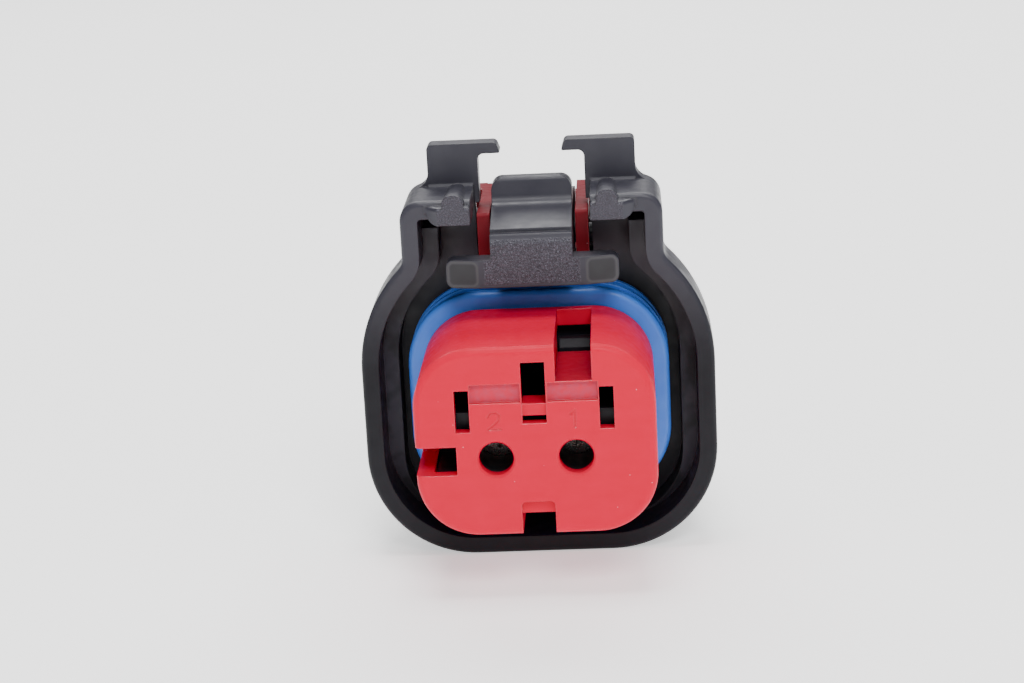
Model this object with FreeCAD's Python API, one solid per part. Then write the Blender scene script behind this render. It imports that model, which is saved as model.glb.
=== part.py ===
"""Two-way sealed automotive plug with a rocker latch, a slide lock and a front retainer.

Millimetres. +Z is up and the mating face looks towards -Y. The origin lies on the
retainer's front face, midway between the two contact axes.
"""
import FreeCAD
import Part

import math
import os

from FreeCAD import Vector

# Contacts
contact_pitch = 6.0
pin_entry_diameter = 2.6
pin_entry_chamfer = 0.18
pin_lead_diameter = 3.2
cavity_diameter = 4.2
hood_diameter = 3.7
hood_wall = 0.25
hood_mouth_margin = 0.25
cavity_front = 5.6
hood_front = 5.8
hood_length = 6.0
socket_diameter = 3.0
socket_bore_diameter = 1.62
contact_clearance = 0.05
crimp_length = 6.0
crimp_width = 3.0
crimp_wall = 0.35
crimp_floor = 0.6
shank_radius = 0.9
finger_setback = 0.1
finger_slit = 0.3
finger_length = 3.6
socket_collar_length = 1.2
contact_length = 19.6

# Front retainer
face_half_width = 9.05
face_top = 8.6
face_bottom = -6.05
face_corner_radius = 4.6
face_edge_radius = 0.55
retainer_length = 11.5
retainer_front_wall = 1.0
retainer_wall = 1.3
retainer_travel = 2.4
slide_clearance = 0.15
side_slot_inner = 4.85
side_slot_outer = 5.93
side_slot_bottom = 2.15
side_slot_top = 5.4
centre_slot_half_width = 0.9
centre_slot_bottom = 2.71
centre_slot_top = 7.43
slot_bar_recess = 0.3
slot_bar_depth = 2.1
slot_bar_bottom = 3.26
slot_bar_height = 0.93
band_bottom = 4.36
band_top = 5.82
band_depth = 0.35
band_inner = 1.02
band_outer = 4.78
top_key_left = 1.66
top_key_right = 4.37
top_key_floor = 5.9
top_key_length = 10.7
top_window_front = 8.1
key_floor_thickness = 0.9
retainer_side_rib = 0.8
side_key_depth = 3.09
side_key_bottom = -1.15
side_key_top = 1.05
side_key_length = 6.2
bottom_key_half_width = 1.26
bottom_key_top = -3.42
bottom_key_lip = 1.05
bottom_key_lip_recess = 0.6
bottom_key_length = 7.0
bottom_key_radius = 0.35
wedge_width = 2.0
wedge_height = 1.1
wedge_lift = 1.35
wedge_taper = 0.45
lance_gap = 0.25
lance_thickness = 0.8
lance_tooth_bottom = 1.3
lance_tooth_length = 1.4
lance_length = 4.9
lance_release = 0.7

digit_bottom = 2.35
digit_width = 0.9
digit_stroke = 0.14
digit_depth = 0.06
digit_one = ((0.15, 1.0), (0.45, 1.3), (0.45, 0.0))
digit_two = ((0.0, 1.0), (0.2, 1.25), (0.6, 1.3), (0.85, 1.05), (0.75, 0.65), (0.0, 0.0), (0.9, 0.0))

# Tower that carries the retainer and the ring seal
tower_front = 1.4
seat_inset = 0.3
seal_front = 11.8
seal_length = 4.5
seal_proud = 1.25
seal_edge_radius = 0.45
seal_groove_depth = 0.45
seal_groove_width = 1.1
seal_groove_count = 2
centre_hollow_depth = 9.0
side_hollow_depth = 7.0
side_ledge = 1.15
bottom_hollow_depth = 6.0
nub_front = 8.9
nub_length = 1.5
nub_rise = 0.7
nub_bevel_run = 0.5
nub_bevel_rise = 0.6

# Shroud with its raised latch housing
rim_front = 10.0
shroud_collar_length = 4.6
shroud_half_width = 13.85
shroud_bottom = -11.2
shroud_lower_radius = 8.45
shoulder_radius = 11.3
shoulder_centre_height = 4.3
shroud_wall = 1.4
rim_edge_radius = 0.4
guard_half_width = 10.15
guard_top = 17.7
guard_corner_radius = 1.6
guard_side_bottom = 13.4
guard_root_radius = 1.2
least_inner_radius = 0.3
collar_step = 1.25
shelf_thickness = 0.8
skirt_end = 22.0
web_front = 16.6
web_thickness = 3.0
web_top = 11.4

# Guard rails and their hooks
rail_inner = 4.6
rail_face_outer = 7.13
rail_outer = 8.0
rail_front = 9.0
rail_bottom = 15.95
rail_shoulder = 17.35
rail_crown = 18.3
rail_crown_rear = 17.85
rail_edge_radius = 0.3
rail_foot_radius = 0.9
rail_block_length = 2.6
hook_length = 1.8
hook_inner = 4.2
hook_outer = 8.2
hook_tip = 2.4
hook_tip_slant = 0.3
hook_top = 21.05
hook_lip = 0.85
hook_corner_radius = 0.4
hook_tip_radius = 0.1
hook_fillet = 0.5
flare_radius = 1.25
cove_setback = 0.9
cove_run = 0.4
cove_lift = 0.05
cove_post_height = 0.55
cove_radius = 0.4
rib_middle = 5.9
rib_half_width = 0.85
rib_crest_radius = 0.75
guard_rear_top = 15.0

# Rear body, wire seal and rear cap
body_half_width = 9.4
body_bottom = -7.4
body_top = 7.8
body_radius = 3.5
body_end = 34.5
body_wall = 1.4
seal_pocket_length = 7.5
wire_seal_length = 5.6
wire_seal_groove = 0.4
wire_seal_groove_width = 1.0
wire_bore_diameter = 2.4
cap_thickness = 1.8
cap_edge_radius = 0.5
cap_hole_diameter = 4.2
cap_hole_flare = 0.4
cap_boss_length = 1.7
cap_arm_width = 5.0
cap_arm_thickness = 1.1
cap_arm_length = 6.0
cap_neck_inset = 0.2
cap_lug_length = 1.6
cap_lug_rise = 0.75
cap_lug_setback = 1.2
cap_lug_half_width = 1.1
cap_lug_lead = 0.1
cap_lug_play = 0.4
cap_clearance = 0.12

# Rocker latch
pivot_back = 18.0
pivot_height = 13.0
pivot_diameter = 1.6
pivot_clearance = 0.05
pivot_seat = 1.9
pivot_cheek_gap = 0.12
beam_half_width = 3.15
bar_front = 8.5
bar_depth = 1.9
bar_half_width = 6.65
bar_face_half_width = 4.07
bar_bottom = 11.05
bar_top = 13.25
bar_corner_radius = 0.6
bar_sweep = 0.55
head_top = 15.15
head_bevel = 0.7
head_bevel_lean = 0.25
head_back = 9.45
head_step = 0.3
latch_edge_radius = 0.2
hub_radius = 1.3
step_back = 13.0
step_height = 16.5
step_lean = 0.8
step_radius = 0.9
pad_front = 14.2
pad_top = 18.5
pad_edge_radius = 0.35
pad_corner_radius = 1.0
pad_crest_length = 1.3
pad_crest_fall = 1.3
pad_crest_back_top = 16.9
pad_crest_radius = 1.0
pad_end = 27.8
pad_end_top = 14.8
pad_rear_foot = 21.5
pad_thickness = 2.3
pad_ridge_pitch = 1.5
pad_ridge_rise = 0.3
pad_ridge_radius = 0.55
pad_ridge_setback = 0.6
pad_ridge_count = 4
pivot_end_gap = 0.2
cheek_gap = 0.35

# Slide lock
lock_gap = 0.2
lock_arm_width = 1.0
lock_travel = 2.6
lock_front_gap = 0.5
lock_rear_gap = 0.6
lock_nose_bottom = 12.4
lock_nose_length = 3.0
lock_arm_bottom = 14.1
lock_arm_top = 15.85
lock_edge_radius = 0.3
lock_upright_length = 2.6
lock_ear_width = 0.6
lock_ear_bottom = 10.6
lock_plate_thickness = 2.2
lock_plate_half_width = 5.0
lock_tongue = 0.9
lock_tongue_thickness = 0.9
lock_end = 32.6
lock_ridge_front = 31.3
lock_ridge_top = 13.6
guide_wall = 1.1
guide_root = 1.2
guide_lip_thickness = 0.8
guide_lip_gap = 0.1
guide_end = 33.0

cut_margin = 1.0
root_overlap = 0.3


def place(x, z, y):
    """A point given across, up and back."""
    return Vector(x, y, z)


def line(a, b):
    return Part.LineSegment(a, b).toShape()


def arc_about(x, z, radius, start, end, y):
    """Arc in a plane of constant depth, about (x, z), between two angles in degrees."""
    def at(angle):
        turn = math.radians(angle)
        return place(x + radius * math.cos(turn), z + radius * math.sin(turn), y)
    return Part.Arc(at(start), at((start + end) / 2), at(end)).toShape()


def closed(edges):
    return Part.Face(Part.Wire(Part.sortEdges(edges)[0]))


def back(face, length):
    """Carry a face of constant depth straight back."""
    return face.extrude(Vector(0, length, 0))


def block(x0, x1, y0, y1, z0, z1):
    return Part.makeBox(x1 - x0, y1 - y0, z1 - z0, Vector(x0, y0, z0))


def rod(radius, x, z, y0, y1):
    return Part.makeCylinder(radius, y1 - y0, Vector(x, y0, z), Vector(0, 1, 0))


def cone(radius0, radius1, x, z, y0, y1):
    return Part.makeCone(radius0, radius1, y1 - y0, Vector(x, y0, z), Vector(0, 1, 0))


def outline(corners, put):
    """Face inside (u, v) corners; a third number rounds its corner. put turns (u, v) into a point."""
    count = len(corners)
    stops = []
    arcs = []
    for i in range(count):
        here = Vector(corners[i][0], corners[i][1], 0)
        radius = corners[i][2] if len(corners[i]) > 2 else 0
        to_last = Vector(corners[i - 1][0], corners[i - 1][1], 0) - here
        to_next = Vector(corners[(i + 1) % count][0], corners[(i + 1) % count][1], 0) - here
        half = to_last.getAngle(to_next) / 2
        to_last.normalize()
        to_next.normalize()
        middle = (to_last + to_next).normalize()
        reach = radius / math.tan(half)
        enter, leave = here + to_last * reach, here + to_next * reach
        stops.append((put(enter.x, enter.y), put(leave.x, leave.y)))
        if radius:
            crown = here + middle * (radius / math.sin(half) - radius)
            arcs.append(Part.Arc(stops[i][0], put(crown.x, crown.y), stops[i][1]).toShape())
    lines = [line(stops[i - 1][1], stops[i][0]) for i in range(count)]
    return closed(lines + arcs)


def rounded(half_width, bottom, top, radius, y0, y1):
    """Block with four rounded corners, its length along Y."""
    w = half_width
    corners = [(-w, bottom, radius), (w, bottom, radius), (w, top, radius), (-w, top, radius)]
    return back(outline(corners, lambda x, z: place(x, z, y0)), y1 - y0)


def tower_block(inset, y0, y1):
    """The retainer's outer form, drawn in by an inset."""
    return rounded(face_half_width - inset, face_bottom + inset, face_top - inset,
                   face_corner_radius - inset, y0, y1)


def hat_half(inset, step, y):
    """Right half of the shroud's outline: flat foot, round side, shoulder, root fillet and raised roof.

    inset draws every wall in, and step narrows the sides and roof but leaves the foot's level.
    """
    w = shroud_half_width - inset - step
    low = shroud_bottom + inset
    foot = shroud_lower_radius - inset - step
    shoulder = shoulder_radius - inset - step
    centre = w - shoulder
    level = shoulder_centre_height
    wall = guard_half_width - inset - step
    root = guard_root_radius + inset
    fx = wall + root
    fz = level + math.sqrt((shoulder + root) ** 2 - (fx - centre) ** 2)
    lean = math.degrees(math.atan2(fz - level, fx - centre))
    roof = guard_top - inset
    corner = max(guard_corner_radius - inset, least_inner_radius)
    return [
        line(place(0, low, y), place(w - foot, low, y)),
        arc_about(w - foot, low + foot, foot, -90, 0, y),
        line(place(w, low + foot, y), place(w, level, y)),
        arc_about(centre, level, shoulder, 0, lean, y),
        arc_about(fx, fz, root, lean + 180, 180, y),
        line(place(wall, fz, y), place(wall, roof - corner, y)),
        arc_about(wall - corner, roof - corner, corner, 0, 90, y),
        line(place(wall - corner, roof, y), place(0, roof, y)),
    ]


def hat(inset, step, y0, y1):
    """Solid with the shroud's outline from y0 back to y1."""
    half = hat_half(inset, step, y0)
    other = [edge.mirror(Vector(0, 0, 0), Vector(1, 0, 0)) for edge in half]
    return back(closed(half + other), y1 - y0)


def soften(solid, radius, pick):
    """Fillet the edges that pick accepts."""
    edges = [edge for edge in solid.Edges if pick(edge)]
    return solid.makeFillet(radius, edges)


def at_depth(y):
    """Accepts edges that lie wholly at one depth."""
    return lambda edge: all(abs(v.Y - y) < 1e-4 for v in edge.Vertexes)


def across(corners, x0, x1):
    """Prism across X from (y, z) corners."""
    return outline(corners, lambda y, z: place(x0, z, y)).extrude(Vector(x1 - x0, 0, 0))


def upward(corners, z0, z1):
    """Prism upwards from (x, y) corners."""
    return outline(corners, lambda x, y: place(x, z0, y)).extrude(Vector(0, 0, z1 - z0))


def along_x(radius, half_length, y, z):
    """Round bar across X, centred on the middle plane."""
    return Part.makeCylinder(radius, 2 * half_length, Vector(-half_length, y, z), Vector(1, 0, 0))


def both_sides(solid):
    """A solid and its mirror image across the middle plane."""
    return [solid, solid.mirror(Vector(0, 0, 0), Vector(1, 0, 0))]


def join(solids):
    first = solids[0]
    return first.fuse(solids[1:]).removeSplitter()


contact_sides = (-1, 1)
contact_x = [side * contact_pitch / 2 for side in contact_sides]
cavity_radius = cavity_diameter / 2
core_inset = retainer_wall + slide_clearance
seal_back = seal_front + seal_length
web_back = web_front + web_thickness
wedge_bottom = cavity_radius + wedge_lift
key_channel_floor = top_key_floor - key_floor_thickness - slide_clearance
lance_front = hood_front + hood_length + lance_gap
lance_root = lance_front + lance_length
wedge_back = lance_front + retainer_travel - lance_release
collar_back = rim_front + shroud_collar_length
hook_back = web_front + shelf_thickness
hook_front = hook_back - hook_length
cove_floor_end = hook_front - cove_run
seal_pocket_front = body_end - seal_pocket_length
lock_front = bar_front + bar_depth + lock_travel + lock_front_gap
lock_upright_front = web_back + lock_travel + lock_rear_gap
roof_under = guard_top - shroud_wall
lock_plate_bottom = body_top + slide_clearance
lock_plate_top = lock_plate_bottom + lock_plate_thickness
pivot_reach = rail_inner + pivot_seat
lug_back = body_end + cap_thickness - cap_arm_length + cap_lug_length + cap_lug_setback


def make_tower():
    """Core inside the retainer, then the wider seat of the ring seal, back to the web."""
    core = tower_block(core_inset, tower_front, web_front + cut_margin)
    seat = tower_block(seat_inset, retainer_length + slide_clearance, web_front + cut_margin)
    return [core, seat]


def make_nub():
    """Catch on the tower that stands up through the window in the retainer's top key slot."""
    y0, y1 = nub_front, nub_front + nub_length
    crown = top_key_floor + nub_rise
    foot = key_channel_floor - root_overlap
    profile = [(y0, foot), (y0, crown - nub_bevel_rise), (y0 + nub_bevel_run, crown), (y1, crown), (y1, foot)]
    return across(profile, top_key_left + slide_clearance, top_key_right - slide_clearance)


def tower_hollows():
    """Room in the core for the retainer's key slots and the release slots."""
    front = tower_front - cut_margin
    key = retainer_side_rib + slide_clearance
    cuts = [block(top_key_left - key, top_key_right + key, front, retainer_length + slide_clearance,
                  key_channel_floor, face_top)]
    half = centre_slot_half_width + slide_clearance
    cuts.append(block(-half, half, front, tower_front + centre_hollow_depth,
                      centre_slot_bottom - slide_clearance, centre_slot_top + slide_clearance))
    for flank in contact_sides:
        x0, x1 = sorted((flank * side_slot_inner, flank * side_slot_outer))
        cuts.append(block(x0 - slide_clearance, x1 + slide_clearance, front, tower_front + side_hollow_depth,
                          side_slot_bottom + side_ledge, side_slot_top + slide_clearance))
    half = bottom_key_half_width + slide_clearance
    cuts.append(block(-half, half, front, tower_front + bottom_hollow_depth,
                      face_bottom, bottom_key_top - bottom_key_lip + slide_clearance))
    left = -face_half_width + side_key_depth + slide_clearance
    cuts.append(block(-face_half_width, left, front, side_key_length, side_key_bottom - slide_clearance,
                      side_key_top + slide_clearance))
    return cuts


def lance_slots(x):
    """Slot over a contact cavity and the lance in it, whose tooth drops behind the contact's hood."""
    half = wedge_width / 2 + slide_clearance
    over = block(x - half, x + half, tower_front - cut_margin, wedge_back + slide_clearance,
                 wedge_bottom - slide_clearance, wedge_bottom + wedge_height + slide_clearance)
    under = block(x - half, x + half, lance_front - lance_gap, lance_root, 0, wedge_bottom)
    lance_half = half - lance_gap
    lance_top = wedge_bottom - slide_clearance
    beam = block(x - lance_half, x + lance_half, lance_front, lance_root + root_overlap,
                 lance_top - lance_thickness, lance_top)
    side_view = [(lance_front, lance_tooth_bottom),
                 (lance_front + lance_tooth_length / 2, lance_tooth_bottom),
                 (lance_front + lance_tooth_length, lance_top - lance_thickness), (lance_front, lance_top)]
    tooth = across(side_view, x - lance_half, x + lance_half)
    return over, under, beam.fuse(tooth).removeSplitter()


def above(level, y0, y1):
    """Everything over a level, for keeping the upper part of a form."""
    reach = shroud_half_width + cut_margin
    return block(-reach, reach, y0, y1, level, guard_top + cut_margin)


def make_shroud():
    """Collar, stepped skirt, the guard's longer sides and the web that joins them to the tower."""
    collar = hat(0, 0, rim_front, collar_back)
    collar = soften(collar, rim_edge_radius, at_depth(rim_front))
    skirt = hat(0, collar_step, collar_back - shelf_thickness, skirt_end)
    y0, y1 = collar_back - shelf_thickness, hook_back
    guard = hat(0, 0, y0, y1).common(above(guard_side_bottom, y0, y1))
    shell = collar.fuse([skirt, guard])
    front = rim_front - cut_margin
    y1 = hook_back - shelf_thickness
    guard_room = hat(shroud_wall, 0, front, y1).common(above(guard_side_bottom + shroud_wall, front, y1))
    shell = shell.cut([hat(shroud_wall, 0, front, collar_back - shelf_thickness), guard_room])
    shell = shell.cut(hat(shroud_wall, collar_step, rim_front, skirt_end + cut_margin))
    web = hat(shroud_wall / 2, collar_step, web_front, web_back)
    return [shell, web]


def make_rail(side):
    """One rail: rough front block with its rib, the roof strip and the post with its hook."""
    bevel = rail_outer - rail_face_outer
    block_back = rim_front + rail_block_length
    plan = [(rail_inner, rail_front), (rail_face_outer, rail_front), (rail_outer, rail_front + bevel),
            (rail_outer, block_back), (rail_inner, block_back)]
    brick = upward(plan, rail_bottom, rail_shoulder)
    front_view = [(rail_inner, rail_bottom), (rail_outer, rail_bottom, rail_foot_radius),
                  (rail_outer, rail_shoulder), (rail_inner, rail_shoulder)]
    front = outline(front_view, lambda x, z: place(x, z, rail_front))
    brick = brick.common(back(front, block_back - rail_front))
    brick = soften(brick, rail_edge_radius, lambda e: all(v.Z > rail_shoulder - 1e-4 for v in e.Vertexes)
                   and e.BoundBox.YMin < block_back - rail_edge_radius)
    strip = block(rail_inner, guard_half_width - collar_step - root_overlap, block_back - root_overlap,
                  hook_back, roof_under, guard_top)
    rail = join([brick, strip, make_hook(), make_flare(), make_cove(), make_rib()])
    if side < 0:
        rail = rail.mirror(Vector(0, 0, 0), Vector(1, 0, 0))
    return rail


def make_hook():
    """Post and the hook that reaches inwards from its top, seen from the front."""
    corners = [(hook_inner, roof_under), (hook_outer, roof_under), (hook_outer, hook_top, hook_corner_radius),
               (hook_tip + hook_tip_slant, hook_top, hook_corner_radius),
               (hook_tip, hook_top - hook_lip, hook_tip_radius),
               (hook_inner, hook_top - hook_lip, hook_fillet)]
    return back(outline(corners, lambda x, z: place(x, z, hook_front)), hook_length)


def make_flare():
    """Hollow fillet between the post's outer side and the rounded corner of the guard's roof."""
    corner_x = guard_half_width - guard_corner_radius
    corner_z = guard_top - guard_corner_radius
    scoop_x = hook_outer + flare_radius
    apart = guard_corner_radius + flare_radius
    scoop_z = corner_z + math.sqrt(apart ** 2 - (scoop_x - corner_x) ** 2)
    end = corner_x + (scoop_x - corner_x) * guard_corner_radius / apart
    body = block(hook_outer - root_overlap, end, hook_front, hook_back, guard_top - 2 * root_overlap, scoop_z)
    return body.cut(rod(flare_radius, scoop_x, scoop_z, hook_front - cut_margin, hook_back + cut_margin))


def make_cove():
    """Hollow sweep that carries the roof strip up into the post, over the rail's whole width."""
    foot = rail_shoulder - 2 * root_overlap
    start = rail_front + cove_setback
    end = hook_front + root_overlap
    top = rail_shoulder + cove_post_height
    corners = [(start, foot), (end, foot), (end, top), (hook_front, top),
               (cove_floor_end, rail_shoulder + cove_lift, cove_radius), (start, rail_shoulder)]
    return across(corners, rail_inner, hook_outer)


def make_rib():
    """Rib with a round crest, falling from the front block back to the post."""
    foot = rail_shoulder - 2 * root_overlap
    left, right = rib_middle - rib_half_width, rib_middle + rib_half_width

    def section(crown, y):
        crest = [(left, foot), (right, foot),
                 (right, crown, rib_crest_radius), (left, crown, rib_crest_radius)]
        return outline(crest, lambda x, z: place(x, z, y)).OuterWire

    ends = [section(rail_crown, rail_front), section(rail_crown_rear, hook_front + root_overlap)]
    return Part.makeLoft(ends, True, True)


def latch_gap():
    """Room for the latch and the slide lock between the rails; cheeks behind the pivot stay."""
    over = guard_top + cut_margin
    between = block(-rail_inner, rail_inner, rail_front - cut_margin, hook_front, web_top, over)
    end = skirt_end + cut_margin
    passage = block(-rail_inner, rail_inner, hook_front, end, web_top, lock_arm_top + cheek_gap)
    between_posts = block(-hook_inner, hook_inner, hook_front, end, web_top, over)
    cheek_front = pivot_back + pivot_diameter / 2 + pivot_clearance + pivot_cheek_gap
    cheek = block(beam_half_width + lock_gap, rail_inner + root_overlap, cheek_front, web_back,
                  web_top - root_overlap, lock_arm_bottom - lock_gap)
    gap = between.fuse([passage, between_posts])
    return gap.cut(both_sides(cheek))


def make_rear_body():
    """Rear body with its lugs for the cap and the guides of the slide lock."""
    body = rounded(body_half_width, body_bottom, body_top, body_radius, web_back - root_overlap, body_end)
    parts = [body]
    half = cap_lug_half_width
    root = body_half_width - root_overlap
    lug_front = lug_back - cap_lug_length
    lug = upward([(root, lug_front), (body_half_width + cap_lug_rise, lug_front),
                  (body_half_width + cap_lug_lead, lug_back), (root, lug_back)], -half, half)
    parts += both_sides(lug)
    inner = lock_plate_half_width + lock_tongue + lock_gap
    lip_under = lock_plate_bottom + lock_tongue_thickness + lock_gap
    lip_top = lip_under + guide_lip_thickness
    lip_inner = inner - lock_tongue + guide_lip_gap
    outer = inner + guide_wall
    guide = block(inner, outer, web_back - root_overlap, guide_end, body_top - guide_root, lip_top)
    lip = block(lip_inner, outer, web_back - root_overlap, guide_end, lip_under, lip_top)
    parts += both_sides(guide.fuse(lip).removeSplitter())
    return parts


def make_housing():
    solids = make_tower() + make_shroud()
    for side in contact_sides:
        solids.append(make_rail(side))
    solids += make_rear_body()
    housing = join(solids)
    housing = housing.cut(tower_hollows())
    beams = []
    for x in contact_x:
        over, under, beam = lance_slots(x)
        cavity = rod(cavity_radius, x, 0, cavity_front, seal_pocket_front + cut_margin)
        entry = rod(pin_lead_diameter / 2, x, 0, tower_front - cut_margin, cavity_front + cut_margin)
        housing = housing.cut([over, under, cavity, entry])
        beams.append(beam)
    pocket = rounded(body_half_width - body_wall, body_bottom + body_wall, body_top - body_wall,
                     body_radius - body_wall, seal_pocket_front, body_end + cut_margin)
    housing = housing.cut(pocket)
    housing = housing.cut(latch_gap())
    housing = housing.cut(block(-shroud_half_width, shroud_half_width, hook_back, skirt_end + cut_margin,
                                guard_rear_top, hook_top))
    pivot_radius = pivot_diameter / 2 + pivot_clearance
    housing = housing.cut(along_x(pivot_radius, pivot_reach, pivot_back, pivot_height))
    return housing.fuse(beams + [make_nub()]).removeSplitter()


def make_retainer():
    """Red cap over the tower: key slots, pin entries, release slots and lance wedges."""
    cap = tower_block(0, 0, retainer_length)
    cap = soften(cap, face_edge_radius, at_depth(0))
    cap = cap.cut(tower_block(retainer_wall, retainer_front_wall, retainer_length + cut_margin))
    fused = [cap]
    floor_under = top_key_floor - key_floor_thickness
    rib = retainer_side_rib
    y0 = retainer_front_wall - root_overlap
    fused.append(block(top_key_left - rib, top_key_right + rib, y0, top_window_front,
                       floor_under, top_key_floor))
    rib_top = face_top - retainer_wall + root_overlap
    for x0, x1 in ((top_key_left - rib, top_key_left), (top_key_right, top_key_right + rib)):
        fused.append(block(x0, x1, y0, top_window_front, floor_under, rib_top))
    half = wedge_width / 2
    for x in contact_x:
        z0, z1 = wedge_bottom, wedge_bottom + wedge_height
        fused.append(across([(y0, z0), (wedge_back, z0), (wedge_back, z0 + wedge_taper),
                             (wedge_back - 2 * wedge_taper, z1), (y0, z1)], x - half, x + half))
    cap = join(fused)
    front = -cut_margin
    through = retainer_front_wall + cut_margin
    cuts = [block(top_key_left, top_key_right, front, top_key_length, top_key_floor, face_top + cut_margin)]
    cuts.append(block(-face_half_width - cut_margin, -face_half_width + side_key_depth,
                      front, side_key_length, side_key_bottom, side_key_top))
    half = bottom_key_half_width
    cuts.append(block(-half, half, front, bottom_key_length, face_bottom - cut_margin,
                      bottom_key_top - bottom_key_lip))
    mouth = [(-half, face_bottom - cut_margin), (half, face_bottom - cut_margin),
             (half, bottom_key_top, bottom_key_radius), (-half, bottom_key_top, bottom_key_radius)]
    cuts.append(back(outline(mouth, lambda x, z: place(x, z, front)), bottom_key_lip_recess - front))
    cuts.append(block(-centre_slot_half_width, centre_slot_half_width, front, through,
                      centre_slot_bottom, centre_slot_top))
    for side in contact_sides:
        x0, x1 = sorted((side * side_slot_inner, side * side_slot_outer))
        cuts.append(block(x0, x1, front, through, side_slot_bottom, side_slot_top))
        x0, x1 = sorted((side * band_inner, side * band_outer))
        cuts.append(block(x0, x1, front, band_depth, band_bottom, band_top))
    radius = pin_entry_diameter / 2
    for x in contact_x:
        cuts.append(rod(radius, x, 0, front, through))
        cuts.append(cone(radius + pin_entry_chamfer, radius, x, 0, 0, pin_entry_chamfer))
    cap = cap.cut(cuts + digit_cuts())
    bar = block(-centre_slot_half_width, centre_slot_half_width, slot_bar_recess,
                slot_bar_recess + slot_bar_depth, slot_bar_bottom, slot_bar_bottom + slot_bar_height)
    return cap.fuse(bar).removeSplitter()


def stroke(x0, z0, x1, z1):
    """Shallow groove in the retainer's front face between two points."""
    along = Vector(x1 - x0, 0, z1 - z0)
    half = digit_stroke / 2
    groove = block(-half, along.Length + half, -cut_margin, digit_depth, -half, half)
    groove.rotate(Vector(0, 0, 0), Vector(0, -1, 0), math.degrees(math.atan2(along.z, along.x)))
    groove.translate(Vector(x0, 0, z0))
    return groove


def digit_cuts():
    """Faint cavity numbers over the pin entries."""
    grooves = []
    for x, points in zip(contact_x, (digit_two, digit_one)):
        left = x - digit_width / 2
        for (u0, v0), (u1, v1) in zip(points, points[1:]):
            grooves.append(stroke(left + u0, digit_bottom + v0, left + u1, digit_bottom + v1))
    return grooves


def make_ring_seal():
    """Three-ribbed ring that fills the gap to the mating shell."""
    outer = tower_block(-seal_proud, seal_front, seal_back)
    outer = soften(outer, seal_edge_radius, lambda e: at_depth(seal_front)(e) or at_depth(seal_back)(e))
    seat = tower_block(seat_inset - slide_clearance, seal_front - cut_margin, seal_back + cut_margin)
    ring = outer.cut(seat)
    for i in range(seal_groove_count):
        middle = seal_front + seal_length * (i + 1) / (seal_groove_count + 1)
        y0, y1 = middle - seal_groove_width / 2, middle + seal_groove_width / 2
        band = tower_block(-seal_proud - cut_margin, y0, y1)
        band = band.cut(tower_block(seal_groove_depth - seal_proud, y0 - cut_margin, y1 + cut_margin))
        ring = ring.cut(band)
    return ring


def make_wire_seal():
    """Block of soft rubber in the rear pocket, with a ribbed rim and one bore for each wire."""
    inset = body_wall + slide_clearance

    def form(extra, y0, y1):
        return rounded(body_half_width - inset - extra, body_bottom + inset + extra, body_top - inset - extra,
                       body_radius - inset - extra, y0, y1)

    y0, y1 = seal_pocket_front + slide_clearance, seal_pocket_front + slide_clearance + wire_seal_length
    solid = form(0, y0, y1)
    for i in range(seal_groove_count):
        middle = y0 + wire_seal_length * (i + 1) / (seal_groove_count + 1)
        g0, g1 = middle - wire_seal_groove_width / 2, middle + wire_seal_groove_width / 2
        outer = form(-cut_margin, g0, g1)
        solid = solid.cut(outer.cut(form(wire_seal_groove, g0 - cut_margin, g1 + cut_margin)))
    for x in contact_x:
        solid = solid.cut(rod(wire_bore_diameter / 2, x, 0, y0 - cut_margin, y1 + cut_margin))
    return solid


def make_rear_cap():
    """Cover that holds the wire seal, with a window arm on each side that snaps over a lug."""
    y0, y1 = body_end + cap_clearance, body_end + cap_clearance + cap_thickness
    plate = rounded(body_half_width, body_bottom, body_top, body_radius, y0, y1)
    plate = soften(plate, cap_edge_radius, at_depth(y1))
    inset = body_wall + cap_clearance
    boss = rounded(body_half_width - inset, body_bottom + inset, body_top - inset, body_radius - inset,
                   y0 - cap_boss_length, y0 + root_overlap)
    x0 = body_half_width + cap_clearance
    half = cap_arm_width / 2
    arm = block(x0, x0 + cap_arm_thickness, y1 - cap_arm_length, y1, -half, half)
    arm = arm.fuse(block(body_half_width - cut_margin, x0 + root_overlap, y0 + cap_neck_inset,
                         y1 - cap_neck_inset, -half, half))
    window_half = cap_lug_half_width + slide_clearance
    window_front = lug_back - cap_lug_length - cap_clearance
    window = block(x0 - cut_margin, x0 + cap_arm_thickness + cut_margin, window_front,
                   lug_back + cap_lug_play, -window_half, window_half)
    arm = arm.cut(window)
    cap = join([plate, boss] + both_sides(arm))
    radius = cap_hole_diameter / 2
    for x in contact_x:
        cap = cap.cut(rod(radius, x, 0, y0 - cap_boss_length - cut_margin, y1 + cut_margin))
        cap = cap.cut(cone(radius, radius + cap_hole_flare, x, 0, y1 - cap_hole_flare, y1))
    return cap


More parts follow.
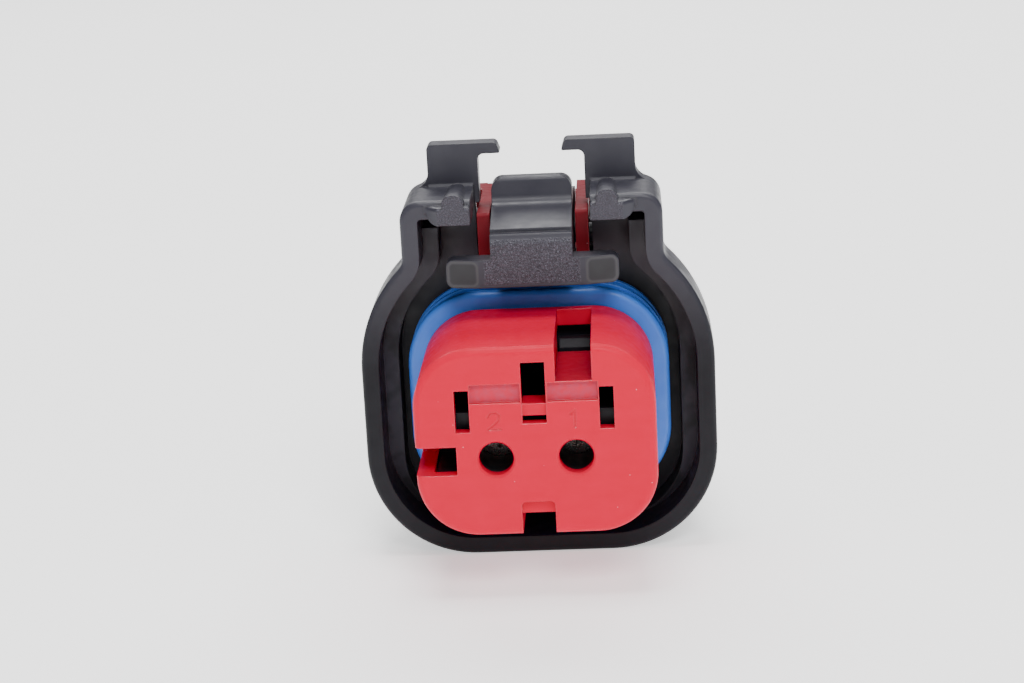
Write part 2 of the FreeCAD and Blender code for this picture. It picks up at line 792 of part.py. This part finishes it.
def make_latch():
    """Rocker: T-shaped catch bar in front, thumb pad behind, pivot stubs in the guard walls."""
    bar_back = bar_front + bar_depth
    slope_top = pad_front + pad_crest_length + pad_crest_fall
    side_view = [
        (bar_front, bar_bottom, latch_edge_radius), (bar_back, bar_bottom), (bar_back, bar_top),
        (pivot_back - hub_radius, pivot_height - hub_radius / 2),
        (pivot_back + hub_radius, pivot_height - hub_radius / 2),
        (pad_rear_foot, pad_end_top - pad_thickness), (pad_end, pad_end_top - pad_thickness),
        (pad_end, pad_end_top, pad_edge_radius), (slope_top, pad_crest_back_top, pad_crest_radius),
        (pad_front + pad_crest_length, pad_top, pad_edge_radius), (pad_front, pad_top, pad_edge_radius),
        (step_back + step_lean, step_height, step_radius), (head_back, head_top + head_step),
        (head_back, head_top), (bar_front + head_bevel_lean, head_top), (bar_front, head_top - head_bevel),
    ]
    beam = across(side_view, -beam_half_width, beam_half_width)
    front_view = [(-beam_half_width, 0), (beam_half_width, 0), (beam_half_width, pad_top, pad_corner_radius),
                  (-beam_half_width, pad_top, pad_corner_radius)]
    beam = beam.common(back(outline(front_view, lambda x, z: place(x, z, 0)), body_end))
    swept = bar_front + bar_sweep
    plan = [(-bar_face_half_width, bar_front), (bar_face_half_width, bar_front), (bar_half_width, swept),
            (bar_half_width, bar_back), (-bar_half_width, bar_back), (-bar_half_width, swept)]
    bar = upward(plan, bar_bottom, bar_top)
    bar = soften(bar, bar_corner_radius, lambda e: e.BoundBox.XLength < 1e-3
                 and e.BoundBox.ZLength < 1e-3 and abs(abs(e.Vertexes[0].X) - bar_half_width) < 1e-3)
    hub = along_x(hub_radius, beam_half_width, pivot_back, pivot_height)
    pins = along_x(pivot_diameter / 2, pivot_reach - pivot_end_gap, pivot_back, pivot_height)
    solids = [beam, bar, hub, pins]
    fall = (pad_crest_back_top - pad_end_top) / (pad_end - slope_top)
    for i in range(pad_ridge_count):
        inset = pad_ridge_pitch * (i + 1)
        height = pad_end_top + fall * inset + pad_ridge_rise - pad_ridge_radius
        solids.append(along_x(pad_ridge_radius, beam_half_width - pad_ridge_setback, pad_end - inset, height))
    return join(solids)


def make_slide_lock():
    """U-shaped slide: an eared arm beside each flank of the latch, joined by a plate under the thumb pad."""
    inner = beam_half_width + lock_gap
    outer = inner + lock_arm_width
    upright_back = lock_upright_front + lock_upright_length
    arm = across([(lock_front, lock_nose_bottom), (lock_front + lock_nose_length, lock_nose_bottom),
                  (lock_front + lock_nose_length, lock_arm_bottom), (lock_upright_front, lock_arm_bottom),
                  (lock_upright_front, lock_plate_bottom), (upright_back, lock_plate_bottom),
                  (upright_back, lock_arm_top, lock_edge_radius),
                  (lock_front, lock_arm_top, lock_edge_radius)], inner, outer)
    ear = block(outer - root_overlap, outer + lock_ear_width, lock_upright_front, upright_back,
                lock_ear_bottom, lock_arm_top)
    ear = soften(ear, lock_edge_radius, lambda e: e.BoundBox.YLength > lock_edge_radius
                 and e.BoundBox.XMin > outer and e.BoundBox.ZMin > lock_ear_bottom)
    plate = block(-lock_plate_half_width, lock_plate_half_width, lock_upright_front, lock_end,
                  lock_plate_bottom, lock_plate_top)
    tongue_half = lock_plate_half_width + lock_tongue
    tongue = block(-tongue_half, tongue_half, lock_upright_front, lock_ridge_front,
                   lock_plate_bottom, lock_plate_bottom + lock_tongue_thickness)
    ridge = across([(lock_ridge_front, lock_plate_bottom), (lock_end, lock_plate_bottom),
                    (lock_end, lock_ridge_top, lock_edge_radius),
                    (lock_ridge_front, lock_ridge_top, lock_edge_radius)],
                   -lock_plate_half_width, lock_plate_half_width)
    return join([plate, tongue, ridge] + both_sides(arm) + both_sides(ear))


def make_hood(x):
    """Steel hood around a contact's spring fingers."""
    radius = hood_diameter / 2
    y0, y1 = hood_front, hood_front + hood_length
    hood = rod(radius, x, 0, y0, y1).cut(rod(radius - hood_wall, x, 0, y0 + hood_wall, y1 + cut_margin))
    mouth = socket_bore_diameter / 2 + hood_mouth_margin
    return hood.cut(rod(mouth, x, 0, y0 - cut_margin, y0 + cut_margin))


def make_contact(x):
    """Socket with four spring fingers, a shank and an open crimp barrel."""
    radius = socket_diameter / 2
    y0 = hood_front + hood_wall + finger_setback
    y1 = hood_front + hood_length
    body = rod(radius, x, 0, y0, y1)
    body = body.cut(rod(socket_bore_diameter / 2, x, 0, y0 - cut_margin, y1 - socket_collar_length))
    slit = finger_slit / 2
    body = body.cut([block(x - slit, x + slit, y0 - cut_margin, y0 + finger_length, -radius, radius),
                     block(x - radius, x + radius, y0 - cut_margin, y0 + finger_length, -slit, slit)])
    collar = rod(hood_diameter / 2 - hood_wall - contact_clearance, x, 0, y1 - socket_collar_length, y1)
    end = y0 + contact_length
    barrel_front = end - crimp_length
    shank = rod(shank_radius, x, 0, y1 - root_overlap, barrel_front + root_overlap)
    half = crimp_width / 2
    barrel = rod(half, x, 0, barrel_front, end)
    barrel = barrel.cut(rod(half - crimp_wall, x, 0, barrel_front + crimp_floor, end + cut_margin))
    opening = block(x - shank_radius, x + shank_radius, barrel_front + 2 * crimp_floor, end + cut_margin,
                    0, half)
    barrel = barrel.cut(opening)
    return join([body, collar, shank, barrel])


def export(name, shape):
    shape.exportStep(os.path.join("parts", name + ".step"))
    print("%-20s solids %d volume %8.1f valid %s" % (name, len(shape.Solids), shape.Volume, shape.isValid()))


def main():
    os.makedirs("parts", exist_ok=True)
    export("plug_housing", make_housing())
    export("front_retainer", make_retainer())
    export("ring_seal", make_ring_seal())
    export("wire_seal", make_wire_seal())
    export("rear_cap", make_rear_cap())
    export("latch_lever", make_latch())
    export("slide_lock", make_slide_lock())
    for number, x in zip((2, 1), contact_x):
        export("contact_hood_%d" % number, make_hood(x))
        export("contact_socket_%d" % number, make_contact(x))


main()
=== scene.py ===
import bpy
from mathutils import Matrix, Vector

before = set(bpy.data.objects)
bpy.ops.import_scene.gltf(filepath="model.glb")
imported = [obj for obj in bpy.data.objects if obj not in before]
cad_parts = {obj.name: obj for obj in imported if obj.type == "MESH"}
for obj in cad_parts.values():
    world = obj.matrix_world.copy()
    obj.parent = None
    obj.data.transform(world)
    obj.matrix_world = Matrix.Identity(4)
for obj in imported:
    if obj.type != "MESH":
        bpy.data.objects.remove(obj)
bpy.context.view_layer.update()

MM = 0.001

# Levels shared with the CAD, in millimetres.
FLOOR_LEVEL = -11.2
BAR_FRONT = 8.5
RAIL_FRONT = 9.0

# A patch's eroded skin fades out between once and twice this depth behind its front.
ROUGH_SKIN = 0.12

# Regions with a look of their own, in millimetres. A reach is a distance from the middle to either side.
# Spark-eroded patches: front level, bottom, top, inner and outer reach.
RAIL_PATCH = (RAIL_FRONT, 15.9, 19.0, 4.65, 7.15)
HEAD_PATCH = (BAR_FRONT, 11.3, 14.8, -1.0, 3.7)
PATCH_BLUR = 0.2

# Mottled patches of painted light inside the collar's sides: inner and outer reach, bottom, top, front, back.
LIT_PATCHES = (10.95, 12.52, -6.2, 8.0, 10.6, 14.4)
LIT_PATCHES_BLUR = (0.05, 1.5, 0.4)

# Rubbed floor of the retainer's recessed band: inner and outer reach, bottom, top, front, back.
RUBBED_BAND = (1.02, 4.78, 4.36, 5.82, 0.33, 0.37)
BAND_BLUR = (0.04, 0.04, 0.02)

# Panel on each end of the latch's bar, outlined by a painted highlight line: reach and height of its middle,
# half width, half height, corner radius.
END_PANEL = (5.35, 12.15, 1.05, 0.85, 0.35)

# The panels end between these levels, behind the bar's front.
PANEL_BACK = (BAR_FRONT + 0.75, BAR_FRONT + 0.85)

# Floor of the retainer's top key slot, darkened with painted shade: left, right, bottom, top.
KEY_SLOT = (1.62, 4.41, 5.86, 6.4)

# Colours
BLACK_DEEP, BLACK_BRIGHT = (0.004, 0.004, 0.006), (0.008, 0.008, 0.012)
BLACK_HIGH_UP = (0.028, 0.027, 0.038)
# Painted highlight for the black mouldings' rounded edges.
BLACK_EDGE_HIGHLIGHT = (0.045, 0.045, 0.048)
# Painted light: a paler grey for the patches inside the collar's sides.
LIT_PATCH_GREY = (0.024, 0.023, 0.034)
# The panel's border line is a painted highlight.
PANEL_BLACK, PANEL_HIGHLIGHT_LINE = (0.012, 0.012, 0.013), (0.060, 0.060, 0.056)
ERODED_DEEP, ERODED_BRIGHT = (0.018, 0.017, 0.024), (0.095, 0.090, 0.118)
# Painted glints on the spark-eroded patches.
ERODED_PAINTED_GLINT = (0.34, 0.33, 0.40)
RETAINER_DEEP, RETAINER_BRIGHT = (0.58, 0.001, 0.026), (0.66, 0.002, 0.040)
# The slide lock's reds are darker copies of the retainer's red: painted shade.
LOCK_SHADED_DEEP, LOCK_SHADED_BRIGHT = (0.14, 0.008, 0.014), (0.20, 0.012, 0.020)
# The first of these colours is a painted highlight for the red mouldings' rounded edges.
RED_EDGE_HIGHLIGHT, RED_DUST = (0.85, 0.03, 0.05), (0.80, 0.55, 0.55)
# The first of these reds is painted shade for the key slot's floor.
SLOT_SHADE_RED, BAND_RED = (0.13, 0.006, 0.012), (0.42, 0.060, 0.105)
# The third blue is a painted highlight for the seals' rounded edges.
BLUE_DEEP, BLUE_BRIGHT, BLUE_EDGE_HIGHLIGHT = (0.028, 0.13, 0.56), (0.045, 0.19, 0.70), (0.10, 0.30, 0.80)
STEEL_CLEAN, STEEL_DULL = (0.62, 0.62, 0.61), (0.36, 0.34, 0.31)
TIN_CLEAN, TIN_DULL = (0.72, 0.70, 0.66), (0.42, 0.38, 0.31)
FLOOR_DEEP, FLOOR_BRIGHT = (0.90, 0.90, 0.90), (0.93, 0.93, 0.93)
WHITE = (1, 1, 1, 1)

# Floor, light and camera. Lengths here are in metres, but for the camera's place in millimetres.
FLOOR_HALF = 1.5
FLOOR_THICKNESS = 0.002
FLOOR_GLOW = 0.75
WORLD_GLOW = 0.16
LIGHT_TARGET = (0, 0.012, 0.004)

# Area lights: name, place, width and height, power in watts.
LIGHTS = (
    ("over", (0.0, 0.0, 0.60), (0.22, 0.22), 2.6),
    ("back", (0.0, 0.46, 0.42), (0.7, 0.35), 4.2),
    ("key", (0.10, -0.40, 0.42), (0.26, 0.20), 2.6),
    ("left", (-0.50, -0.25, 0.30), (0.4, 0.5), 0.7),
    ("right", (0.50, -0.25, 0.30), (0.4, 0.5), 0.7),
)

CAMERA_PLACE = (7.542, -167.273, 55.342)
CAMERA_RIGHT = (0.99799, 0.0395, -0.04947)
CAMERA_AHEAD = (-0.05129, 0.96257, -0.26613)
CAMERA_LENS = 83.07
CAMERA_SENSOR = 36.0
CAMERA_CLIP_START = 0.01


# Shader helpers
def is_socket(value):
    return isinstance(value, bpy.types.NodeSocket)


class Shader:
    """A material under construction: nodes are added and joined through short methods."""

    def __init__(self, name):
        self.material = bpy.data.materials.new(name)
        self.material.use_nodes = True
        self.tree = self.material.node_tree
        self.tree.nodes.clear()
        self.output = self.tree.nodes.new("ShaderNodeOutputMaterial")
        self.surface = self.tree.nodes.new("ShaderNodeBsdfPrincipled")
        self.join(self.surface.outputs["BSDF"], self.output.inputs["Surface"])
        coordinates = self.tree.nodes.new("ShaderNodeTexCoord")
        self.place = self.vector_math("SCALE", coordinates.outputs["Object"], scale=1 / MM)

    def join(self, source, target):
        self.tree.links.new(source, target)

    def put(self, socket, value):
        """Link an output, or set a constant."""
        if is_socket(value):
            self.join(value, socket)
        else:
            socket.default_value = value

    def put_colour(self, socket, value):
        """Link an output, or set a constant of three channels."""
        self.put(socket, value if is_socket(value) else (*value, 1.0))

    def vector_math(self, operation, a, b=None, scale=None):
        node = self.tree.nodes.new("ShaderNodeVectorMath")
        node.operation = operation
        self.put(node.inputs[0], a)
        if b is not None:
            self.put(node.inputs[1], b)
        if scale is not None:
            self.put(node.inputs["Scale"], scale)
        return node.outputs["Vector"]

    def math(self, operation, a, b=0.0):
        node = self.tree.nodes.new("ShaderNodeMath")
        node.operation = operation
        self.put(node.inputs[0], a)
        self.put(node.inputs[1], b)
        return node.outputs["Value"]

    def times(self, *values):
        """Product of two or more values."""
        product = values[0]
        for value in values[1:]:
            product = self.math("MULTIPLY", product, value)
        return product

    def noise(self, scale, detail=3.0, roughness=0.5, stretch=(1, 1, 1)):
        """Noise with its scale in cycles per millimetre."""
        node = self.tree.nodes.new("ShaderNodeTexNoise")
        self.join(self.vector_math("MULTIPLY", self.place, stretch), node.inputs["Vector"])
        node.inputs["Scale"].default_value = scale
        node.inputs["Detail"].default_value = detail
        node.inputs["Roughness"].default_value = roughness
        return node.outputs["Fac"]

    def cells(self, scale):
        """Distance to the nearest of many scattered points, for eroded pits and dust."""
        node = self.tree.nodes.new("ShaderNodeTexVoronoi")
        self.join(self.place, node.inputs["Vector"])
        node.inputs["Scale"].default_value = scale
        return node.outputs["Distance"]

    def remap(self, value, low, high, to_low, to_high):
        """Smooth step from to_low at low to to_high at high; low may be the greater of the two."""
        node = self.tree.nodes.new("ShaderNodeMapRange")
        node.interpolation_type = "SMOOTHSTEP"
        self.put(node.inputs["Value"], value)
        for socket, number in zip(("From Min", "From Max", "To Min", "To Max"), (low, high, to_low, to_high)):
            self.put(node.inputs[socket], number)
        return node.outputs["Result"]

    def mix(self, factor, a, b):
        """Colour from a at factor 0 to b at factor 1."""
        node = self.tree.nodes.new("ShaderNodeMix")
        node.data_type = "RGBA"
        self.put(node.inputs["Factor"], factor)
        self.put_colour(node.inputs[6], a)
        self.put_colour(node.inputs[7], b)
        return node.outputs[2]

    def inside(self, value, low, high, blur):
        """1 between two levels and 0 outside them, with edges blurred over a width."""
        rise = self.remap(value, low - blur / 2, low + blur / 2, 0.0, 1.0)
        fall = self.remap(value, high - blur / 2, high + blur / 2, 1.0, 0.0)
        return self.times(rise, fall)

    def axis(self, name):
        node = self.tree.nodes.new("ShaderNodeSeparateXYZ")
        self.join(self.place, node.inputs["Vector"])
        return node.outputs[name]

    def reach(self):
        """Distance from the middle to either side."""
        return self.math("ABSOLUTE", self.axis("X"))

    def block(self, limits, blurs):
        """1 in a block on both sides of the middle: inner and outer reach, bottom, top, front, back."""
        inner, outer, bottom, top, front, back = limits
        across, upright, deep = blurs
        return self.times(self.inside(self.reach(), inner, outer, across),
                          self.inside(self.axis("Z"), bottom, top, upright),
                          self.inside(self.axis("Y"), front, back, deep))

    def edges(self, radius):
        """(rounded normal, share of edge) from a bevel of that radius in millimetres."""
        bevel = self.tree.nodes.new("ShaderNodeBevel")
        bevel.samples = 4
        bevel.inputs["Radius"].default_value = radius * MM
        geometry = self.tree.nodes.new("ShaderNodeNewGeometry")
        dot = self.tree.nodes.new("ShaderNodeVectorMath")
        dot.operation = "DOT_PRODUCT"
        self.join(bevel.outputs["Normal"], dot.inputs[0])
        self.join(geometry.outputs["Normal"], dot.inputs[1])
        return bevel.outputs["Normal"], self.remap(dot.outputs["Value"], 0.98, 0.75, 0.0, 1.0)

    def bump(self, height, strength, depth, normal):
        """Normal bent by a height, with its depth in millimetres."""
        node = self.tree.nodes.new("ShaderNodeBump")
        self.put(node.inputs["Height"], height)
        self.put(node.inputs["Strength"], strength)
        node.inputs["Distance"].default_value = depth * MM
        self.join(normal, node.inputs["Normal"])
        return node.outputs["Normal"]

    def finish(self, colour, roughness, normal=None, **sockets):
        """Join everything to the surface; an underscore in a socket's name stands for a space."""
        self.put_colour(self.surface.inputs["Base Color"], colour)
        self.put(self.surface.inputs["Roughness"], roughness)
        if normal is not None:
            self.join(normal, self.surface.inputs["Normal"])
        for name, value in sockets.items():
            self.put(self.surface.inputs[name.replace("_", " ")], value)
        return self.material


# Materials
def patch_mask(s, patch):
    """1 on the spark-eroded front faces of a patch."""
    front, bottom, top, inner, outer = patch
    skin = s.remap(s.axis("Y"), front + ROUGH_SKIN, front + 2 * ROUGH_SKIN, 1.0, 0.0)
    return s.times(skin, s.inside(s.axis("Z"), bottom, top, PATCH_BLUR),
                   s.inside(s.reach(), inner, outer, PATCH_BLUR))


def panel_distance(s, panel):
    """Distance outwards from the panel's rounded border, negative inside it, in millimetres."""
    across, height, half_width, half_height, radius = panel
    over = []
    for value, middle, half in ((s.reach(), across, half_width), (s.axis("Z"), height, half_height)):
        away = s.math("ABSOLUTE", s.math("SUBTRACT", value, middle))
        over.append(s.math("SUBTRACT", away, half - radius))
    outside = [s.math("POWER", s.math("MAXIMUM", value, 0.0), 2.0) for value in over]
    corner = s.math("SQRT", s.math("ADD", *outside))
    within = s.math("MINIMUM", s.math("MAXIMUM", *over), 0.0)
    return s.math("SUBTRACT", s.math("ADD", corner, within), radius)


# Mottled patches of painted light on the collar's inner sides, paler than the black around them.
def add_painted_light_patches(s, colour, lit_patches):
    mottling = s.remap(s.noise(0.55, 2.0), 0.38, 0.62, 0.15, 1.0)
    return s.mix(s.times(s.block(lit_patches, LIT_PATCHES_BLUR), mottling), colour, LIT_PATCH_GREY)


def add_panel(s, colour, panel):
    """Darker panel inside a painted highlight line along its border, on the bar's front only."""
    border = panel_distance(s, panel)
    front = s.remap(s.axis("Y"), *PANEL_BACK, 1.0, 0.0)
    highlight_line = s.times(s.inside(border, 0.0, 0.16, 0.16), front)
    panel_inside = s.times(s.remap(border, -0.15, 0.05, 1.0, 0.0), front)
    colour = s.mix(s.times(panel_inside, 0.8), colour, PANEL_BLACK)
    return s.mix(s.times(highlight_line, 0.5), colour, PANEL_HIGHLIGHT_LINE)


def eroded_colour(s):
    """Dark pits, paler crests and a few painted glints."""
    speck = s.remap(s.noise(15.0, 3.0, 0.7), 0.42, 0.70, 0.0, 1.0)
    painted_glint = s.remap(s.noise(19.0, 2.0, 0.5), 0.66, 0.76, 0.0, 1.0)
    return s.mix(painted_glint, s.mix(speck, ERODED_DEEP, ERODED_BRIGHT), ERODED_PAINTED_GLINT)


def black_plastic(name, patch=None, panel=None, lit_patches=None):
    """Satin black moulding, greyer and glossier high up.

    It can have a spark-eroded patch, end panels outlined by a painted highlight line and mottled patches of
    painted light.
    """
    s = Shader(name)
    rounded, edge = s.edges(0.14)
    high = s.remap(s.axis("Z"), 3.0, 14.0, 0.0, 1.0)
    colour = s.mix(s.noise(0.25, 3.0), BLACK_DEEP, BLACK_BRIGHT)
    colour = s.mix(high, colour, BLACK_HIGH_UP)
    if lit_patches:
        colour = add_painted_light_patches(s, colour, lit_patches)
    # Painted highlight along rounded edges.
    colour = s.mix(s.times(edge, 0.4), colour, BLACK_EDGE_HIGHLIGHT)
    roughness = s.remap(s.noise(0.9, 3.0), 0.3, 0.7, 0.34, 0.46)
    height = s.noise(7.0, 4.0, 0.65)
    strength = 0.06
    if panel:
        colour = add_panel(s, colour, panel)
    if patch:
        rough = patch_mask(s, patch)
        colour = s.mix(rough, colour, eroded_colour(s))
        roughness = s.math("SUBTRACT", roughness, s.times(rough, 0.06))
        height = s.math("ADD", height, s.times(s.cells(6.0), rough))
        strength = s.math("ADD", s.times(rough, 0.75), strength)
    specular = s.math("ADD", s.times(high, 0.18), 0.18)
    return s.finish(colour, roughness, s.bump(height, strength, 0.06, rounded), Specular_IOR_Level=specular)


def add_retainer_marks(s, colour):
    """Painted shade on the floor of the key slot and pale, rubbed floor of the recessed band."""
    left, right, bottom, top = KEY_SLOT
    # Painted shade on the key slot's floor, deeper behind the face.
    behind_face = s.remap(s.axis("Y"), 0.05, 0.25, 0.0, 0.7)
    slot_shade = s.times(s.inside(s.axis("X"), left, right, 0.06),
                      s.inside(s.axis("Z"), bottom, top, 0.04), behind_face)
    colour = s.mix(slot_shade, colour, SLOT_SHADE_RED)
    wear = s.remap(s.noise(2.2, 3.0), 0.3, 0.7, 0.35, 0.75)
    return s.mix(s.times(s.block(RUBBED_BAND, BAND_BLUR), wear), colour, BAND_RED)


def red_plastic(name, deep, bright, retainer=False):
    """Satin red moulding with faint flow streaks, a painted highlight along its edges and fine dust."""
    s = Shader(name)
    rounded, edge = s.edges(0.12)
    flow = s.noise(0.35, 4.0, 0.6, (1.0, 1.0, 2.4))
    colour = s.mix(flow, deep, bright)
    # Painted highlight along rounded edges.
    colour = s.mix(s.times(edge, 0.35), colour, RED_EDGE_HIGHLIGHT)
    colour = s.mix(s.remap(s.cells(0.9), 0.045, 0.025, 0.0, 0.6), colour, RED_DUST)
    if retainer:
        colour = add_retainer_marks(s, colour)
    roughness = s.remap(s.noise(1.4, 3.0), 0.3, 0.7, 0.30, 0.42)
    roughness = s.math("SUBTRACT", roughness, s.times(edge, 0.12))
    face = s.remap(s.axis("Y"), 0.03, 0.06, 1.0, 0.0)
    grain = s.math("ADD", s.times(face, 0.22), 0.08)
    specular = s.math("ADD", s.times(edge, 0.9), 0.08)
    normal = s.bump(s.noise(9.0, 3.0), grain, 0.03, rounded)
    return s.finish(colour, roughness, normal, Specular_IOR_Level=specular)


def blue_rubber(name):
    """Silicone with a soft, slightly oily skin."""
    s = Shader(name)
    rounded, edge = s.edges(0.15)
    colour = s.mix(s.noise(0.5, 3.0), BLUE_DEEP, BLUE_BRIGHT)
    # Painted highlight along rounded edges.
    colour = s.mix(s.times(edge, 0.3), colour, BLUE_EDGE_HIGHLIGHT)
    roughness = s.remap(s.noise(1.1, 3.0), 0.3, 0.7, 0.38, 0.55)
    normal = s.bump(s.noise(5.0, 3.0), 0.12, 0.04, rounded)
    return s.finish(colour, roughness, normal, Subsurface_Weight=0.08)


def metal(name, clean, dull):
    """Stamped strip: brushed along its length with small stains."""
    s = Shader(name)
    rounded = s.edges(0.05)[0]
    brushed = s.noise(6.0, 2.0, 0.5, (1.0, 0.12, 1.0))
    colour = s.mix(s.remap(s.noise(1.2), 0.5, 0.75, 0.0, 0.5), clean, dull)
    roughness = s.remap(brushed, 0.3, 0.7, 0.22, 0.38)
    return s.finish(colour, roughness, s.bump(brushed, 0.15, 0.01, rounded), Metallic=1.0)


def pale_floor(name):
    s = Shader(name)
    colour = s.mix(s.noise(0.02, 2.0), FLOOR_DEEP, FLOOR_BRIGHT)
    return s.finish(colour, 0.75, Emission_Color=WHITE, Emission_Strength=FLOOR_GLOW)


def dress(node, material):
    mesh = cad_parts[node].data
    mesh.materials.clear()
    mesh.materials.append(material)


def dress_all():
    blue = blue_rubber("seal blue")
    steel = metal("hood steel", STEEL_CLEAN, STEEL_DULL)
    tin = metal("tinned contact", TIN_CLEAN, TIN_DULL)
    dress("plug_housing", black_plastic("housing black", RAIL_PATCH, lit_patches=LIT_PATCHES))
    dress("latch_lever", black_plastic("latch black", HEAD_PATCH, END_PANEL))
    dress("rear_cap", black_plastic("cap black"))
    dress("front_retainer", red_plastic("retainer red", RETAINER_DEEP, RETAINER_BRIGHT, retainer=True))
    # The slide lock gets a darker copy of the red moulding, as painted shade.
    dress("slide_lock", red_plastic("lock red shaded", LOCK_SHADED_DEEP, LOCK_SHADED_BRIGHT))
    dress("ring_seal", blue)
    dress("wire_seal", blue)
    for number in (1, 2):
        dress("contact_hood_%d" % number, steel)
        dress("contact_socket_%d" % number, tin)


# Floor, light and camera
def make_floor():
    """Square slab with its top at the floor's level."""
    top = FLOOR_LEVEL * MM
    low = top - FLOOR_THICKNESS
    corners = ((-1, -1), (1, -1), (1, 1), (-1, 1))
    points = [(x * FLOOR_HALF, y * FLOOR_HALF, z) for z in (low, top) for x, y in corners]
    faces = [(3, 2, 1, 0), (4, 5, 6, 7), (0, 1, 5, 4), (1, 2, 6, 5), (2, 3, 7, 6), (3, 0, 4, 7)]
    mesh = bpy.data.meshes.new("floor")
    mesh.from_pydata(points, [], faces)
    mesh.materials.append(pale_floor("floor"))
    floor = bpy.data.objects.new("floor", mesh)
    bpy.context.scene.collection.objects.link(floor)


def area_light(name, place, size, power):
    data = bpy.data.lights.new(name, "AREA")
    data.shape = "RECTANGLE"
    data.size, data.size_y = size
    data.energy = power
    lamp = bpy.data.objects.new(name, data)
    lamp.location = place
    lamp.rotation_euler = (Vector(LIGHT_TARGET) - Vector(place)).to_track_quat("-Z", "Y").to_euler()
    bpy.context.scene.collection.objects.link(lamp)


def make_light():
    world = bpy.data.worlds.new("studio")
    world.use_nodes = True
    background = world.node_tree.nodes["Background"]
    background.inputs["Color"].default_value = WHITE
    background.inputs["Strength"].default_value = WORLD_GLOW
    bpy.context.scene.world = world
    for light in LIGHTS:
        area_light(*light)


def make_camera():
    """The photo's view, found from the known symmetric pairs of the part."""
    data = bpy.data.cameras.new("photo view")
    data.sensor_width = CAMERA_SENSOR
    data.lens = CAMERA_LENS
    data.clip_start = CAMERA_CLIP_START
    camera = bpy.data.objects.new("photo view", data)
    right = Vector(CAMERA_RIGHT).normalized()
    ahead = Vector(CAMERA_AHEAD).normalized()
    up = right.cross(ahead).normalized()
    right = ahead.cross(up)
    turn = Matrix((right, up, -ahead)).transposed().to_4x4()
    camera.matrix_world = Matrix.Translation(Vector(CAMERA_PLACE) * MM) @ turn
    bpy.context.scene.collection.objects.link(camera)
    bpy.context.scene.camera = camera


dress_all()
make_floor()
make_light()
make_camera()
